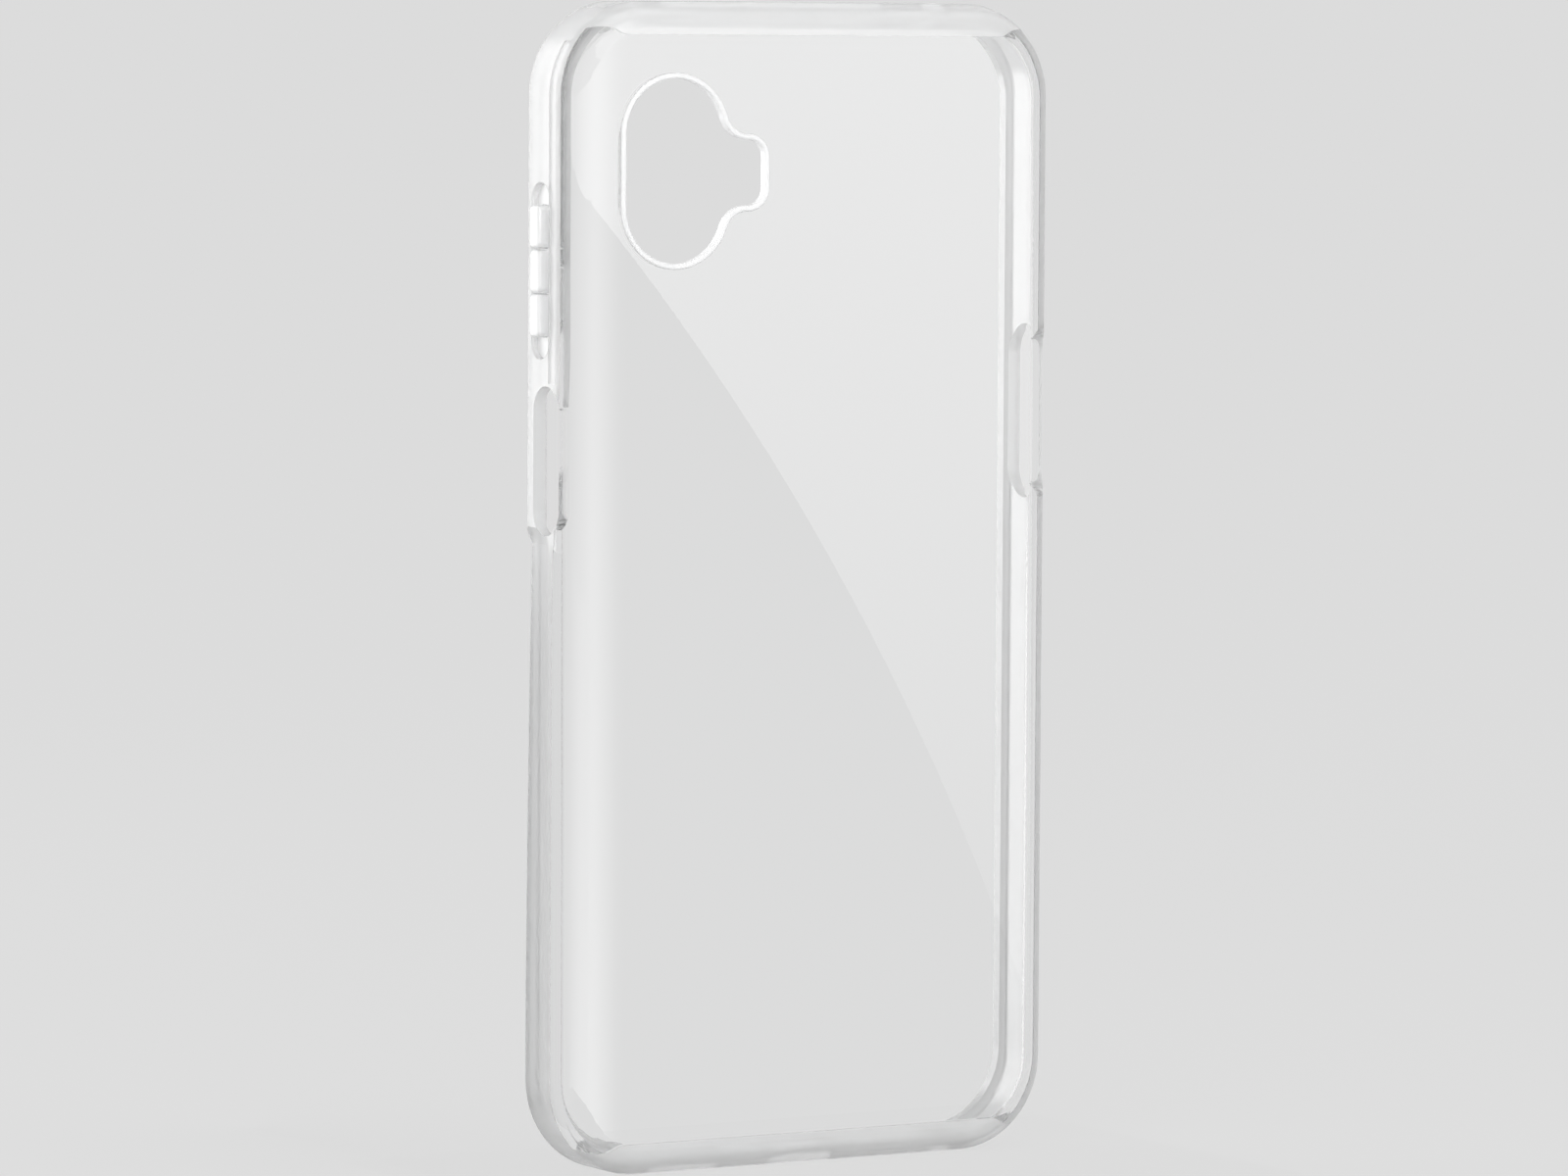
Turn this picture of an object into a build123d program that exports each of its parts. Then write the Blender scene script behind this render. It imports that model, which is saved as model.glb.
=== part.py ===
from build123d import *
import math
import os

os.makedirs("parts", exist_ok=True)

# ----------------------------------------------------------------------------
# Clear hybrid phone case, standing on its bottom edge.
# +Z runs up the length, +X is to the right as seen from behind the case, and
# the outer back face looks along -Y. The phone goes in from the +Y side.
# "Depth" below is measured from the outer back face towards the phone side.
# All sizes in millimetres.
# ----------------------------------------------------------------------------

# phone that the case holds
phone_w, phone_h, phone_t = 79.9, 168.8, 9.9
phone_r = 12.3

# case body
case_w, case_h, case_d = 84.0, 173.0, 12.3
corner_r = 14.0            # outer corner, seen from behind
back_edge_r = 4.0          # rounding between the back and the side walls
front_edge_r = 0.7         # rounding on the outer edge of the front rim
back_t = 1.3               # thickness of the back panel
fit_gap = 0.2              # room all round the phone
lip_t = 1.0                # thickness of the retaining lip
lip_side, lip_end = 0.7, 0.9   # how far the lip reaches over the phone
cavity_edge_r = 2.7        # inside rounding, back panel to side wall
cavity_front_r = 2.4       # inside rounding, side wall to lip
mouth_round = 0.35         # softened outer edge of the wall openings
bond_gap = 0.04            # bond line between the panel, the frame and the rim

# camera window: a tall slot with a smaller bay on its right side
win_x, win_z = -23.95, 148.05      # centre of the slot
win_w, win_h = 16.7, 27.1
bay_right = -8.9                   # right-hand end of the bay
bay_z, bay_h = 147.85, 9.7
bay_corner_r, bay_root_r = 2.7, 4.4
rim_w = 0.85                       # width of the raised rim
rim_proud = 0.4                    # how far it stands off the back
rim_round = 0.28
rim_inner_round = 0.45             # rounding where it meets the phone's side

# seam between the back panel and the frame
seam_depth_top, seam_depth_low = 2.6, 4.3   # on the long sides
seam_inset = 5.0                            # on the short sides

# volume keys, on the left wall (seen from behind)
vol_z = case_h - 39.6
vol_depth = 8.2
moat_l, moat_w = 25.6, 4.6
pad_w, pad_l, pad_pitch = 3.0, 6.2, 6.5
pad_proud = 1.1
centre_proud = 1.0
pad_inner = 1.35           # inner end of a pad, from the outer wall face
web_t = 0.5                # flexible web that carries the pads
pad_gap = 0.15             # slit between a pad and the web
pad_travel = 0.4           # how far a pad is pressed

# other side openings
power_z, power_depth = case_h - 67.4, 6.4
power_l, power_w = 18.6, 4.8
side_key_z, side_key_depth = case_h - 61.3, 5.9
side_key_l, side_key_w = 21.5, 5.0

# where the body sits, so that the whole object is centred on X and Y
x_c = pad_proud / 2
y_back = -(case_d + rim_proud) / 2 + rim_proud
y_front = y_back + case_d
x_left, x_right = x_c - case_w / 2, x_c + case_w / 2
wall_side = (case_w - phone_w) / 2 - fit_gap
wall_end = (case_h - phone_h) / 2 - fit_gap


def depth(d):
    """Y of a point at this depth from the outer back face."""
    return y_back + d


def behind(d):
    """Plane across the case at a depth; its normal points out of the back."""
    return Plane.XZ.offset(-depth(d))


def left_wall(x, d, z):
    """Plane parallel to the left wall, local x up the case, normal inwards."""
    return Plane(origin=(x, depth(d), z), x_dir=(0, 0, 1), z_dir=(1, 0, 0))


def right_wall(x, d, z):
    """Plane parallel to the right wall, local x up the case, normal inwards."""
    return Plane(origin=(x, depth(d), z), x_dir=(0, 0, 1), z_dir=(-1, 0, 0))


def outer_body():
    """The full outer shape as one solid."""
    with BuildPart() as body:
        with BuildSketch(behind(case_d)):
            with Locations((x_c, case_h / 2)):
                RectangleRounded(case_w, case_h, corner_r)
        extrude(amount=case_d)
        fillet(body.faces().sort_by(Axis.Y)[0].edges(), back_edge_r)
        fillet(body.faces().sort_by(Axis.Y)[-1].edges(), front_edge_r)
    return body.part


def phone_space():
    """The phone's seat and the mouth it goes in through."""
    with BuildPart() as space:
        with BuildSketch(behind(case_d - lip_t)):
            with Locations((x_c, case_h / 2)):
                RectangleRounded(
                    phone_w + 2 * fit_gap, phone_h + 2 * fit_gap, phone_r
                )
        extrude(amount=case_d - lip_t - back_t)
        fillet(space.faces().sort_by(Axis.Y)[0].edges(), cavity_edge_r)
        fillet(space.faces().sort_by(Axis.Y)[-1].edges(), cavity_front_r)
        with BuildSketch(behind(case_d + 1)):
            with Locations((x_c, case_h / 2)):
                RectangleRounded(
                    phone_w + 2 * fit_gap - 2 * lip_side,
                    phone_h + 2 * fit_gap - 2 * lip_end,
                    phone_r - lip_side,
                )
        extrude(amount=lip_t + 2)
    return space.part


def panel_zone(gap):
    """Everything behind the seam, grown by gap on the frame's side."""
    with BuildPart() as zone:
        # long sides: the seam lies on the side wall, nearer the back at the
        # keys and further forward below them
        with BuildSketch(Plane.YZ.offset(x_left - 5)):
            with BuildLine():
                a, b = depth(seam_depth_top + gap), depth(seam_depth_low + gap)
                top = Line((a, case_h + 2), (a, case_h - 52))
                ease = Spline(
                    (a, case_h - 52),
                    ((a + b) / 2, case_h - 72),
                    (b, case_h - 92),
                    tangents=((0, -1), (0, -1)),
                )
                low = Line((b, case_h - 92), (b, -2))
                Polyline(
                    (b, -2), (y_back - 3, -2), (y_back - 3, case_h + 2), (a, case_h + 2)
                )
            make_face()
        extrude(amount=case_w + 10)
        # short sides: a straight seam with a small shoulder at each corner
        with BuildSketch(behind(case_d), mode=Mode.PRIVATE) as outline:
            with BuildLine():
                z_hi, z_lo = case_h - seam_inset + gap, seam_inset - gap
                shoulder = [(31.8, 0.0), (33.8, 0.7), (35.8, 1.08), (37.4, 0.9), (39.4, 0.15), (44.5, -0.5)]
                Line((x_c - 31.8, z_hi), (x_c + 31.8, z_hi))
                Spline(*[(x_c + u, z_hi + v) for u, v in shoulder], tangents=((1, 0), (1, 0)))
                Line((x_c + 44.5, z_hi - 0.5), (x_c + 44.5, z_lo + 0.5))
                Spline(*[(x_c + u, z_lo - v) for u, v in reversed(shoulder)], tangents=((-1, 0), (-1, 0)))
                Line((x_c + 31.8, z_lo), (x_c - 31.8, z_lo))
                Spline(*[(x_c - u, z_lo - v) for u, v in shoulder], tangents=((-1, 0), (-1, 0)))
                Line((x_c - 44.5, z_lo + 0.5), (x_c - 44.5, z_hi - 0.5))
                Spline(*[(x_c - u, z_hi + v) for u, v in reversed(shoulder)], tangents=((1, 0), (1, 0)))
            make_face()
        extrude(outline.sketch, amount=case_d + 4, mode=Mode.INTERSECT)
    return zone.part


def window(grow, d0, d1):
    """The camera window's outline, grown outwards, from one depth to another."""
    r = win_w / 2 + grow
    rc = bay_corner_r + grow
    rr = bay_root_r - grow
    half = (win_h - win_w) / 2
    xr = bay_right + grow
    z1, z0 = bay_z + bay_h / 2 + grow, bay_z - bay_h / 2 - grow
    cz1, cz0 = win_z + half, win_z - half

    def root(line_z, centre_z, side):
        fz = line_z + side * rr
        fx = win_x + math.sqrt((r + rr) ** 2 - (fz - centre_z) ** 2)
        on_arc = (
            win_x + (fx - win_x) * r / (r + rr),
            centre_z + (fz - centre_z) * r / (r + rr),
        )
        on_line = (fx, line_z)
        ax, az = on_arc[0] - fx, on_arc[1] - fz
        bx, bz = on_line[0] - fx, on_line[1] - fz
        m = math.hypot(ax + bx, az + bz)
        mid = (fx + (ax + bx) / m * rr, fz + (az + bz) / m * rr)
        return on_arc, mid, on_line

    def at(p):
        return (x_c + p[0], p[1])

    a1, m1, l1 = root(z1, cz1, 1)
    a0, m0, l0 = root(z0, cz0, -1)
    s = rc * math.sqrt(0.5)
    with BuildPart() as cut:
        with BuildSketch(behind(d1)):
            with BuildLine():
                ThreePointArc(at((win_x - r, cz1)), at((win_x, cz1 + r)), at(a1))
                ThreePointArc(at(a1), at(m1), at(l1))
                Line(at(l1), at((xr - rc, z1)))
                ThreePointArc(at((xr - rc, z1)), at((xr - rc + s, z1 - rc + s)), at((xr, z1 - rc)))
                Line(at((xr, z1 - rc)), at((xr, z0 + rc)))
                ThreePointArc(at((xr, z0 + rc)), at((xr - rc + s, z0 + rc - s)), at((xr - rc, z0)))
                Line(at((xr - rc, z0)), at(l0))
                ThreePointArc(at(l0), at(m0), at(a0))
                ThreePointArc(at(a0), at((win_x, cz0 - r)), at((win_x - r, cz0)))
                Line(at((win_x - r, cz0)), at((win_x - r, cz1)))
            make_face()
        extrude(amount=d1 - d0)
    return cut.part


def flared_mouth(outer_plane, outer_l, outer_w, inner_plane, inner_l, inner_w):
    """A slot through a side wall that widens towards the outside."""
    with BuildPart() as mouth:
        with BuildSketch(outer_plane) as wide:
            SlotOverall(outer_l, outer_w)
        with BuildSketch(inner_plane) as narrow:
            SlotOverall(inner_l, inner_w)
        loft(sections=[wide.sketch, narrow.sketch])
        with BuildSketch(inner_plane):
            SlotOverall(inner_l, inner_w)
        extrude(amount=4)
    return mouth.part


body_solid = outer_body()
phone_solid = phone_space()
power_mouth = flared_mouth(
    left_wall(x_left - 0.3, power_depth, power_z), power_l + 3.4, power_w + 2.6,
    left_wall(x_left + 1.15, power_depth, power_z), power_l, power_w,
)
# a finger scoop that also bites into the rounding of the back edge
side_key_mouth = flared_mouth(
    right_wall(x_right + 0.3, side_key_depth - 0.5, side_key_z), side_key_l + 5.0, side_key_w + 4.2,
    right_wall(x_right - 1.3, side_key_depth, side_key_z), side_key_l, side_key_w,
)



def lean(z, amount):
    """Section of what is taken off the left wall, in the plane at height z."""
    with BuildSketch(Plane.XY.offset(z)) as section:
        with BuildLine():
            Polyline(
                (x_left - 0.6, depth(5.4)),
                (x_left - 0.002, depth(5.4)),
                (x_left - 0.002 + amount, depth(case_d)),
                (x_left - 0.002 + amount, depth(case_d + 0.6)),
                (x_left - 0.6, depth(case_d + 0.6)),
                close=True,
            )
        make_face()
    return section.sketch


def lean_wedge():
    """The wedge between the upright wall and the leaning one."""
    sections = [lean(case_h - 77.2, 0.004), lean(case_h - 79.6, 1.05), lean(16, 0.004)]
    with BuildPart() as wedge:
        loft(sections=sections, ruled=True)
    return wedge.part


lean_cut = lean_wedge()
panel_space = panel_zone(0)
frame_clearance = panel_zone(bond_gap)
panel_hole = window(rim_w + bond_gap, -2, back_t + 3)
rim_solid = window(rim_w, -rim_proud, back_t)
rim_hole = window(0, -rim_proud - 1, back_t + 1)

# ----------------------------------------------------------------------------
# back panel: hard clear plate that turns over the two long edges
# ----------------------------------------------------------------------------
with BuildPart() as back_panel:
    add(body_solid)
    add(phone_solid, mode=Mode.SUBTRACT)
    add(panel_space, mode=Mode.INTERSECT)
    add(panel_hole, mode=Mode.SUBTRACT)
    add(power_mouth, mode=Mode.SUBTRACT)
    add(side_key_mouth, mode=Mode.SUBTRACT)

# ----------------------------------------------------------------------------
# bumper frame: soft clear wall all round, with the retaining lip
# ----------------------------------------------------------------------------
with BuildPart() as bumper_frame:
    add(body_solid)
    add(phone_solid, mode=Mode.SUBTRACT)
    add(frame_clearance, mode=Mode.SUBTRACT)

    # left wall below the keys leans in towards its front edge
    add(lean_cut, mode=Mode.SUBTRACT)

    # shallow channel along the left wall, behind the keys, round the corner
    with BuildSketch(behind(5.7), mode=Mode.PRIVATE) as channel:
        with Locations((x_c, case_h / 2)):
            RectangleRounded(case_w + 4, case_h + 4, corner_r + 2)
            RectangleRounded(
                case_w - 0.56, case_h - 0.56, corner_r - 0.28, mode=Mode.SUBTRACT
            )
        with Locations((x_left, case_h - 31)):
            Rectangle(24, 50, mode=Mode.INTERSECT)
    extrude(channel.sketch, amount=2.0, mode=Mode.SUBTRACT)

    # moat round the volume keys
    with BuildSketch(left_wall(x_left - 1, vol_depth, vol_z)):
        SlotOverall(moat_l, moat_w)
    extrude(amount=5, mode=Mode.SUBTRACT)
    rim_edges = (
        bumper_frame.edges()
        .filter_by_position(Axis.X, x_left - 0.01, x_left + 0.01)
        .filter_by_position(Axis.Z, vol_z - moat_l / 2 - 0.1, vol_z + moat_l / 2 + 0.1)
        .filter_by(lambda e: depth(vol_depth - moat_w / 2 - 0.1) < e.center().Y < depth(vol_depth + moat_w / 2 + 0.1))
    )
    fillet(rim_edges, mouth_round)

    add(power_mouth, mode=Mode.SUBTRACT)
    add(side_key_mouth, mode=Mode.SUBTRACT)

    # top wall: microphone, long key and antenna slot, headphone socket
    with BuildSketch(Plane.XY.offset(case_h - 3.5)):
        with Locations((x_c - 28.2, depth(6.2))):
            Circle(1.1)
        with Locations((x_c - 4.9, depth(6.2))):
            SlotOverall(40.0, 4.6)
        with Locations((x_c + 23.1, depth(6.4))):
            Circle(3.1)
    extrude(amount=5, mode=Mode.SUBTRACT)

    # bottom wall: loudspeaker, charging socket, microphone
    with BuildSketch(Plane.XY.offset(-1.5)):
        with Locations((x_c - 19.4, depth(6.3))):
            SlotOverall(13.8, 4.6)
        with Locations((x_c + 0.6, depth(6.3))):
            SlotOverall(13.2, 6.6)
        with Locations((x_c + 25.4, depth(6.3))):
            SlotOverall(5.4, 4.4)
    extrude(amount=5, mode=Mode.SUBTRACT)
    end_edges = bumper_frame.edges().filter_by(
        lambda e: (e.bounding_box().min.Z > case_h - 0.01 or e.bounding_box().max.Z < 0.01)
        and abs(e.center().X - x_c) < 28.5
        and depth(2.8) < e.center().Y < depth(9.8)
    )
    fillet(end_edges, mouth_round)

# ----------------------------------------------------------------------------
# camera window rim: soft raised ring bonded into the panel
# ----------------------------------------------------------------------------
with BuildPart() as camera_window_rim:
    add(rim_solid)
    add(rim_hole, mode=Mode.SUBTRACT)
    fillet(camera_window_rim.faces().sort_by(Axis.Y)[0].edges(), rim_round)
    fillet(camera_window_rim.faces().sort_by(Axis.Y)[-1].inner_wires()[0].edges(), rim_inner_round)

# ----------------------------------------------------------------------------
# volume keys: two pads that are pressed inwards, on a flexible web
# ----------------------------------------------------------------------------
pad_zs = {"up": vol_z + pad_pitch, "down": vol_z - pad_pitch}

with BuildPart() as volume_key_web:
    with BuildSketch(left_wall(x_left + pad_inner, vol_depth, vol_z)):
        SlotOverall(moat_l - 2 * bond_gap, moat_w - 2 * bond_gap)
    extrude(amount=-web_t)
    with BuildSketch(left_wall(x_left + pad_inner, vol_depth, vol_z)):
        with Locations((pad_pitch, 0), (-pad_pitch, 0)):
            RectangleRounded(pad_l + 2 * pad_gap, pad_w + 2 * pad_gap, 0.9 + pad_gap)
    extrude(amount=-web_t, mode=Mode.SUBTRACT)
    # fixed ridge between the two pads
    with BuildSketch(left_wall(x_left + pad_inner, vol_depth, vol_z)):
        RectangleRounded(pad_l, pad_w, 0.9)
    extrude(amount=-(pad_inner + centre_proud))
    fillet(volume_key_web.faces().sort_by(Axis.X)[0].edges(), 0.4)


def volume_pad(z):
    with BuildPart() as pad:
        with BuildSketch(left_wall(x_left + pad_inner, vol_depth, z)):
            RectangleRounded(pad_l, pad_w, 0.9)
        extrude(amount=-(pad_inner + pad_proud))
        fillet(pad.faces().sort_by(Axis.X)[0].edges(), 0.45)
    return pad.part


pad_up_solid = volume_pad(pad_zs["up"])
pad_down_solid = volume_pad(pad_zs["down"])

with BuildPart() as volume_up_pad:
    add(pad_up_solid)

with BuildPart() as volume_down_pad:
    add(pad_down_solid)

for name, piece in (
    ("back_panel", back_panel),
    ("bumper_frame", bumper_frame),
    ("camera_window_rim", camera_window_rim),
    ("volume_key_web", volume_key_web),
    ("volume_up_pad", volume_up_pad),
    ("volume_down_pad", volume_down_pad),
):
    piece.part.label = name
    export_step(piece.part, "parts/" + name + ".step")
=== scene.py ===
import math

import bpy
import numpy as np
from mathutils import Matrix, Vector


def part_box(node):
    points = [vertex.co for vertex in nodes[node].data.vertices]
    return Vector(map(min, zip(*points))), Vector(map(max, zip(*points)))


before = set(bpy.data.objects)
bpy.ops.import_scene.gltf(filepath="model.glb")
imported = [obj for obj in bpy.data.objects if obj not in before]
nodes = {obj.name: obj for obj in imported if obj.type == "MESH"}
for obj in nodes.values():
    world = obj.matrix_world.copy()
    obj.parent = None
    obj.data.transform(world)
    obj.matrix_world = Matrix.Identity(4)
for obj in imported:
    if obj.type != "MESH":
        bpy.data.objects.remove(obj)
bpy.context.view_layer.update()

MM = 0.001
frame_lo, frame_hi = (np.array(v, float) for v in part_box("bumper_frame"))
y_back = float(frame_lo[1])
x_mid = float(frame_lo[0] + frame_hi[0]) / 2
height = float(frame_hi[2])

scene = bpy.context.scene
scene.view_settings.view_transform = "Standard"
scene.view_settings.look = "None"
scene.view_settings.exposure = 0.0
scene.view_settings.gamma = 1.0
scene.cycles.max_bounces = 160
scene.cycles.transmission_bounces = 160
scene.cycles.glossy_bounces = 160
scene.cycles.diffuse_bounces = 24
scene.cycles.transparent_max_bounces = 32
scene.cycles.sample_clamp_indirect = 5.0

# ---------------------------------------------------------------- camera
AZ, EL, ROLL = math.radians(-30.67), math.radians(3.85), math.radians(0.332)
DIST, LENS = 1.1721, 181.72
target = np.array([x_mid - 5.09 * MM, y_back, 86.38 * MM])
to_cam = np.array([math.sin(AZ) * math.cos(EL), -math.cos(AZ) * math.cos(EL), math.sin(EL)])
eye = target + to_cam * DIST
fwd = -to_cam
right = np.cross(fwd, [0, 0, 1.0])
right /= np.linalg.norm(right)
up = np.cross(right, fwd)
r2 = right * math.cos(ROLL) + up * math.sin(ROLL)
u2 = -right * math.sin(ROLL) + up * math.cos(ROLL)
cam_data = bpy.data.cameras.new("camera")
cam_data.lens = LENS
cam_data.sensor_width = 36.0
cam_data.clip_start = 0.05
cam_data.clip_end = 50.0
cam = bpy.data.objects.new("camera", cam_data)
m = Matrix.Identity(4)
for i in range(3):
    m[i][0], m[i][1], m[i][2], m[i][3] = r2[i], u2[i], to_cam[i], eye[i]
cam.matrix_world = m
scene.collection.objects.link(cam)
scene.camera = cam


# ---------------------------------------------------------------- materials
class Mat:
    def __init__(self, name):
        self.m = bpy.data.materials.new(name)
        self.m.use_nodes = True
        self.t = self.m.node_tree
        self.t.nodes.clear()
        self.out = self.t.nodes.new("ShaderNodeOutputMaterial")

    def n(self, kind):
        return self.t.nodes.new("ShaderNode" + kind)

    def set(self, node, **kw):
        for k, v in kw.items():
            node.inputs[k.replace("_", " ")].default_value = v
        return node

    def link(self, a, b):
        self.t.links.new(a, b)

    def remap(self, value, a, b, c, d):
        r = self.n("MapRange")
        for k, v in (("From Min", a), ("From Max", b), ("To Min", c), ("To Max", d)):
            r.inputs[k].default_value = v
        self.link(value, r.inputs["Value"])
        return r.outputs["Result"]

    def noise(self, coord, scale, detail=3.0, rough=0.55):
        n = self.n("TexNoise")
        n.inputs["Scale"].default_value = scale
        n.inputs["Detail"].default_value = detail
        n.inputs["Roughness"].default_value = rough
        self.link(coord, n.inputs["Vector"])
        return n.outputs["Fac"]

    def math(self, op, a, b):
        n = self.n("Math")
        n.operation = op
        for i, v in enumerate((a, b)):
            if isinstance(v, (int, float)):
                n.inputs[i].default_value = v
            else:
                self.link(v, n.inputs[i])
        return n.outputs[0]

    def tint(self, fac, lo, hi):
        """Grey to grey, with a touch of blue in the darker one."""
        mix = self.n("Mix")
        mix.data_type = "RGBA"
        mix.inputs[6].default_value = (lo, lo * 1.004, lo * 1.008, 1)
        mix.inputs[7].default_value = (hi, hi, hi, 1)
        self.link(fac, mix.inputs[0])
        return mix.outputs[2]


def soft_plastic(name, clear, rough, tone, bump):
    """Clear soft polyurethane: a little haze, and a moulded skin with a fine grain."""
    a = Mat(name)
    p = a.n("TexCoord").outputs["Object"]
    grain = a.noise(p, 3200, 3, 0.6)
    skin = a.noise(p, 700, 3)
    broad = a.noise(p, 60, 2)
    b = a.n("BsdfPrincipled")
    a.set(b, IOR=1.49, Transmission_Weight=clear, Specular_IOR_Level=0.5)
    mixed = a.math("ADD", a.math("MULTIPLY", grain, 0.7), a.math("MULTIPLY", broad, 0.3))
    a.link(a.tint(a.remap(mixed, 0.38, 0.62, 0, 1), *tone), b.inputs["Base Color"])
    a.link(a.remap(a.math("ADD", skin, broad), 0.7, 1.3, *rough), b.inputs["Roughness"])
    h = a.math("ADD", a.math("MULTIPLY", grain, 0.2), skin)
    bp = a.n("Bump")
    a.set(bp, Strength=bump, Distance=0.00004)
    a.link(h, bp.inputs["Height"])
    a.link(bp.outputs["Normal"], b.inputs["Normal"])
    a.link(b.outputs[0], a.out.inputs["Surface"])
    return a.m


def hard_plastic(name):
    """Clear polished polycarbonate, a touch uneven in its polish."""
    a = Mat(name)
    p = a.n("TexCoord").outputs["Object"]
    broad = a.noise(p, 18, 2)
    fine = a.noise(p, 900, 3)
    b = a.n("BsdfPrincipled")
    a.set(b, IOR=1.52, Transmission_Weight=1.0, Specular_IOR_Level=0.5)
    a.link(a.tint(broad, 0.996, 1.0), b.inputs["Base Color"])
    a.link(a.remap(a.math("ADD", broad, a.math("MULTIPLY", fine, 0.4)), 0.5, 0.9, 0.0, 0.006), b.inputs["Roughness"])
    a.link(b.outputs[0], a.out.inputs["Surface"])
    return a.m


mat_frame = soft_plastic("soft_frame", 0.62, (0.14, 0.24), (0.988, 1.0), 0.06)
mat_rim = soft_plastic("soft_rim", 0.28, (0.10, 0.18), (0.988, 1.0), 0.02)
mat_keys = soft_plastic("soft_keys", 0.28, (0.12, 0.22), (0.988, 1.0), 0.04)
mat_panel = hard_plastic("clear_panel")
for node, mat in (
    ("back_panel", mat_panel),
    ("bumper_frame", mat_frame),
    ("camera_window_rim", mat_rim),
    ("volume_key_web", mat_keys),
    ("volume_up_pad", mat_keys),
    ("volume_down_pad", mat_keys),
):
    o = nodes[node]
    if not o.material_slots:
        o.data.materials.append(mat)
    for s in o.material_slots:
        s.material = mat

# ---------------------------------------------------------------- stage
BG = 0.7157  # the pale grey of the backdrop
FLAG_UPPER, FLAG_LOWER, FLAG_UNDER = 0.68, 0.06, 0.76
FRONT, TOP, SIDE = 2.8, 0.9, 2.5
world = bpy.data.worlds.new("studio")
world.use_nodes = True
world.node_tree.nodes["Background"].inputs[0].default_value = (1, 1, 1, 1)
world.node_tree.nodes["Background"].inputs[1].default_value = BG
scene.world = world

# floor: a wide disc, mostly self-lit, so that it meets the backdrop with no line
FLOOR_DIFFUSE = 0.05
ring = 96
verts = [(0, 0, 0)] + [(9 * math.cos(2 * math.pi * i / ring), 9 * math.sin(2 * math.pi * i / ring), 0) for i in range(ring)]
me = bpy.data.meshes.new("floor")
me.from_pydata(verts, [], [(0, 1 + i, 1 + (i + 1) % ring) for i in range(ring)])
floor = bpy.data.objects.new("floor", me)
scene.collection.objects.link(floor)
fm = Mat("floor")
fd = fm.n("BsdfDiffuse")
fd.inputs["Color"].default_value = (FLOOR_DIFFUSE,) * 3 + (1,)
fe = fm.n("Emission")
fe.inputs["Strength"].default_value = BG * (1 - FLOOR_DIFFUSE)
fadd = fm.n("AddShader")
fm.link(fd.outputs[0], fadd.inputs[0])
fm.link(fe.outputs[0], fadd.inputs[1])
fm.link(fadd.outputs[0], fm.out.inputs["Surface"])
me.materials.append(fm.m)
floor.visible_glossy = False
floor.visible_transmission = False

# ---------------------------------------------------------------- light cards
glow_mat = Mat("light_card")
at = glow_mat.n("Attribute")
at.attribute_name = "glow"
em = glow_mat.n("Emission")
glow_mat.link(at.outputs["Fac"], em.inputs["Strength"])
tr = glow_mat.n("BsdfTransparent")
ad = glow_mat.n("AddShader")
glow_mat.link(em.outputs[0], ad.inputs[0])
glow_mat.link(tr.outputs[0], ad.inputs[1])
glow_mat.link(ad.outputs[0], glow_mat.out.inputs["Surface"])


def sheet(name, place, glow, us, vs, lights=False, mirrored=True, material=None):
    """A sheet of light that adds to what is behind it: place(u, v) is a point of
    it, and glow(u, v) how bright it is there. None is seen through a clear piece."""
    verts = [tuple(map(float, place(u, v))) for v in vs for u in us]
    nu = len(us)
    faces = [
        (j * nu + i, j * nu + i + 1, (j + 1) * nu + i + 1, (j + 1) * nu + i)
        for j in range(len(vs) - 1)
        for i in range(nu - 1)
    ]
    me = bpy.data.meshes.new(name)
    me.from_pydata(verts, [], faces)
    col = me.attributes.new("glow", "FLOAT", "POINT")
    col.data.foreach_set("value", [float(glow(u, v)) for v in vs for u in us])
    me.materials.append((material or glow_mat).m)
    o = bpy.data.objects.new(name, me)
    scene.collection.objects.link(o)
    o.visible_camera = False
    o.visible_shadow = False
    o.visible_diffuse = lights
    o.visible_glossy = mirrored
    o.visible_transmission = False
    return o


mirror_eye = np.array([eye[0], 2 * y_back - eye[1], eye[2]])
Y_CARD = y_back - 0.55


def on_card(x, z, y_card=Y_CARD):
    """Where the line of sight, mirrored in the back face, meets a card's plane."""
    p = np.array([x, y_back, z])
    d = p - mirror_eye
    return mirror_eye + d * (y_card - mirror_eye[1]) / d[1]


def circle3(a, b, c):
    d = 2 * (a[0] * (b[1] - c[1]) + b[0] * (c[1] - a[1]) + c[0] * (a[1] - b[1]))
    sa, sb, sc = (p[0] ** 2 + p[1] ** 2 for p in (a, b, c))
    return np.array([
        (sa * (b[1] - c[1]) + sb * (c[1] - a[1]) + sc * (a[1] - b[1])) / d,
        (sa * (c[0] - b[0]) + sb * (a[0] - c[0]) + sc * (b[0] - a[0])) / d,
    ])


OUTER = 0.0435  # what the panel's outer face mirrors at this angle
# wide card: its left-hand edge is a shallow arc across the back
q0, q1, q2 = (np.array(q) * MM for q in ((-42.65, 148.78), (-4.14, 101.78), (32.57, 36.98)))
cc = circle3(q0, q1, q2)
rad = float(np.linalg.norm(q0 - cc))


def arc_x(z):
    return float(cc[0] + math.sqrt(max(rad**2 - (z - cc[1]) ** 2, 0)) * (1 if q1[0] > cc[0] else -1))


sheet(
    "card_wide",
    lambda u, v: on_card(arc_x(v) + u, v),
    lambda u, v: (0.027 + (min(v, 0.17) - 0.043) * 0.62) / OUTER,
    [0.0, 0.04, 0.08, 0.12, 0.16],
    list(np.linspace(0.0, 0.200, 61)) + [0.25, 0.40],
)

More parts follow.
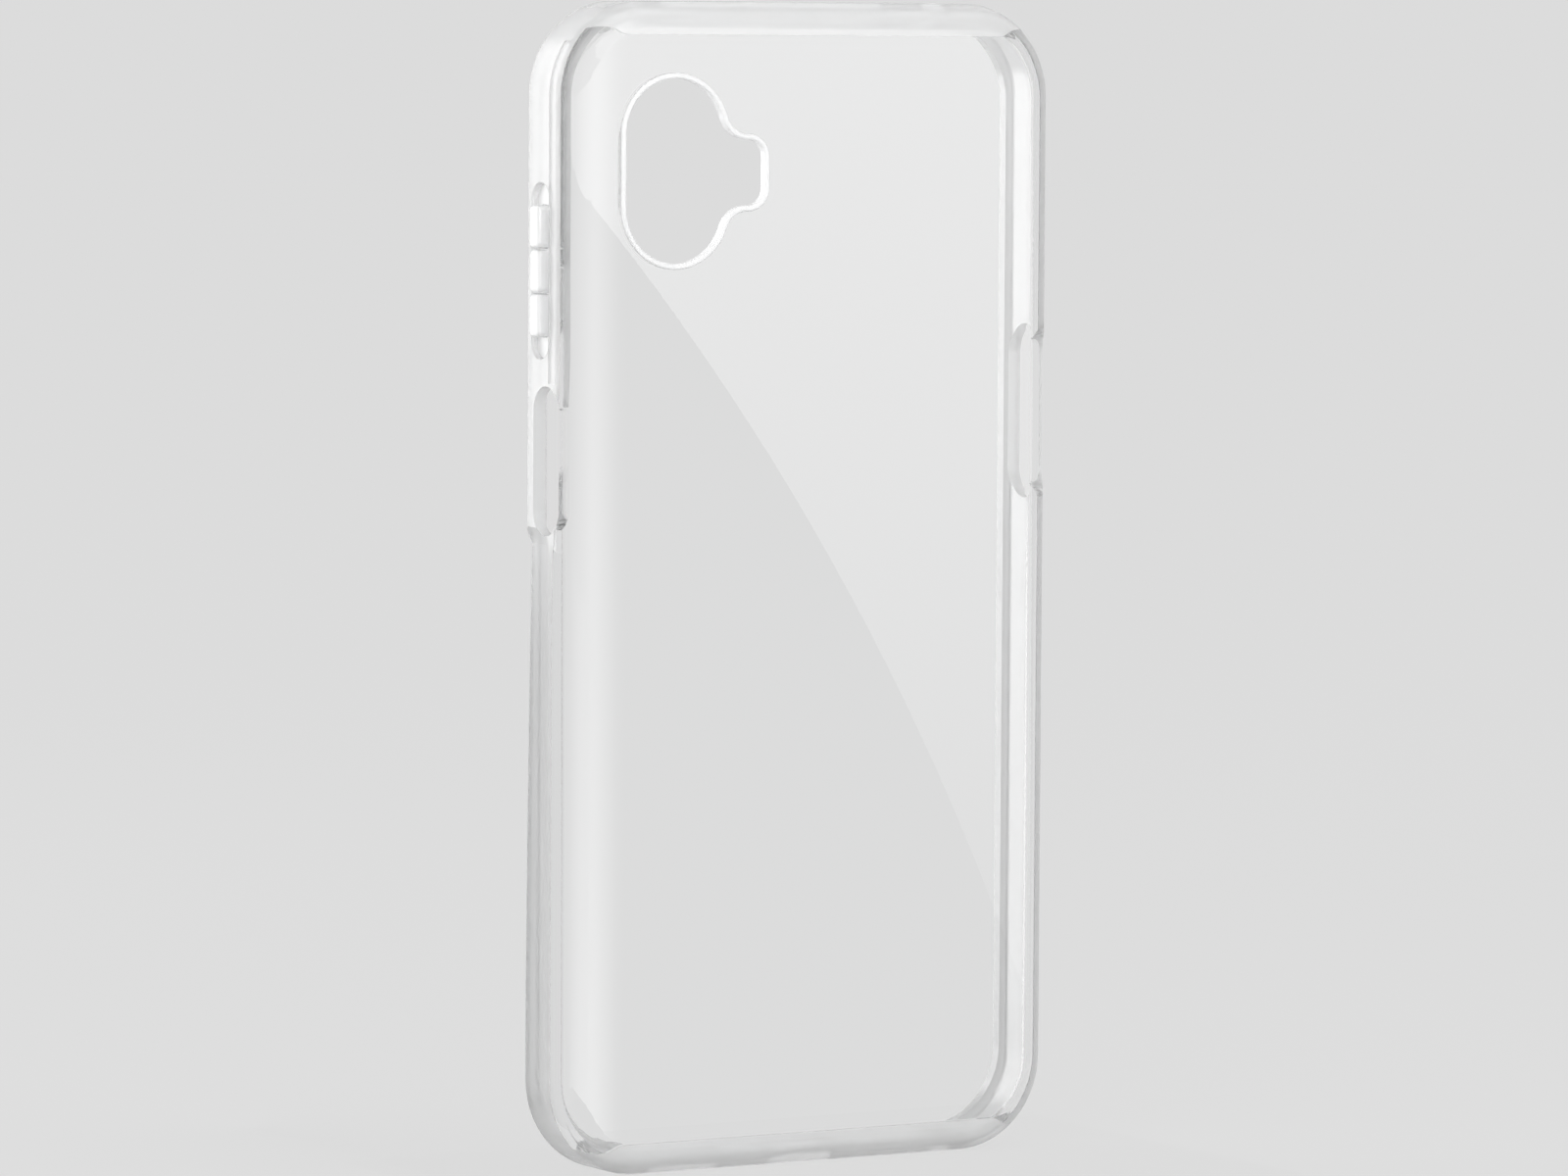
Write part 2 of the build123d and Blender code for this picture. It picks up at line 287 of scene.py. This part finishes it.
# narrow card: brightest in line with the left edge of the flat, fading on both
# sides; seen only in the outer face's own reflection
Y_NARROW = Y_CARD - 0.01
peak = float(on_card(-37.8 * MM, 0.09, Y_NARROW)[0])
end = float(on_card(-31.4 * MM, 0.09, Y_NARROW)[0])
narrow = [(-1.2, 0.0), (-0.8, 0.10), (-0.4, 0.34), (-0.1, 0.58), (0.12, 0.82), (peak, 1.0), (peak + 0.25 * (end - peak), 0.86),
          (peak + 0.55 * (end - peak), 0.42), (peak + 0.8 * (end - peak), 0.1), (end, 0.0)]
xs = [a for a, _ in narrow]
amount = dict(narrow)
# the panel's turned edge mirrors the left half of the card, which is
# stronger where the darker flag stands beside the edge
sheet(
    "card_narrow",
    lambda u, v: (u, Y_NARROW, v),
    lambda u, v: amount[u] * (1.0 if u > 0.0 else 1.4 if v < 0.046 else 1.05) * (0.112 - 0.02 * v / 0.17) / OUTER,
    xs,
    [-0.11, -0.05, 0.0, 0.043, 0.049, 0.10, 0.15, 0.20],
)
# the wide card goes on past the turn of the left edge, above the arc's end
top_left = float(on_card(arc_x(0.1475), 0.1475)[0])
# its lower edge carries on the arc's slope
sheet(
    "card_wide_left",
    lambda u, v: (u, Y_CARD, v - (2.8 + 3.9 * max(0.0, (u + 0.5) / (top_left + 0.488))) * MM),
    lambda u, v: 0.092 / OUTER * (1.0 if u > -0.5 else 0.6),
    [-1.2, -0.5, -0.1, top_left - 0.012],
    [float(on_card(-0.04, z)[2]) for z in (0.1485, 0.165, 0.19, 0.25, 0.5)],
)

# two flags beside the left wall: a light one over its upper half and a darker one
# over its lower half, with a sharp step between them
def flag_material(name, tone):
    flag = Mat(name)
    ft = flag.n("BsdfTransparent")
    ft.inputs["Color"].default_value = (tone, tone, tone, 1)
    flag.link(ft.outputs[0], flag.out.inputs["Surface"])
    return flag


for part, tone, z0, z1 in (("upper", FLAG_UPPER, 0.0915, 0.21), ("lower", FLAG_LOWER, -0.01, 0.0915)):
    flag_mat = flag_material("flag_" + part, tone)
    sheet(
        "flag_left_" + part,
        lambda u, v: (-0.054, u, v),
        lambda u, v: 0.0,
        np.linspace(-0.007, 0.07, 3),
        np.linspace(z0, z1, 3),
        lights=True,
        material=flag_mat,
    )
# the bottom wall looks down into a third, which only its own surface sees
sheet(
    "flag_under",
    lambda u, v: (u, v, 0.0004),
    lambda u, v: 0.0,
    np.linspace(-0.06, 0.06, 3),
    np.linspace(-0.05, 0.03, 3),
    lights=True,
    material=flag_material("flag_under", FLAG_UNDER),
)
# soft fill from behind, on the left: pads' sides, rim, and the inside of the right wall
sheet(
    "card_side",
    lambda u, v: (-0.46 + u * 0.66, -0.40 - u * 0.75, v),
    lambda u, v: SIDE,
    np.linspace(-0.25, 0.25, 3),
    np.linspace(0.02, 0.48, 3),
    lights=True,
    mirrored=False,
)
# soft fill from in front of the mouth, on the left: lights the inside of the right wall
sheet(
    "card_front",
    lambda u, v: (-0.42 + u * 0.80, 0.62 + u * 0.3, v),
    lambda u, v: FRONT,
    np.linspace(-0.40, 0.30, 3),
    np.linspace(-0.1, 0.6, 3),
    lights=True,
)
# broad fill from above and behind
sheet(
    "card_top",
    lambda u, v: (-0.1 + u, -0.25 + v * 0.7, 0.55 - v * 0.7),
    lambda u, v: TOP,
    np.linspace(-0.4, 0.4, 3),
    np.linspace(-0.35, 0.35, 3),
    lights=True,
)
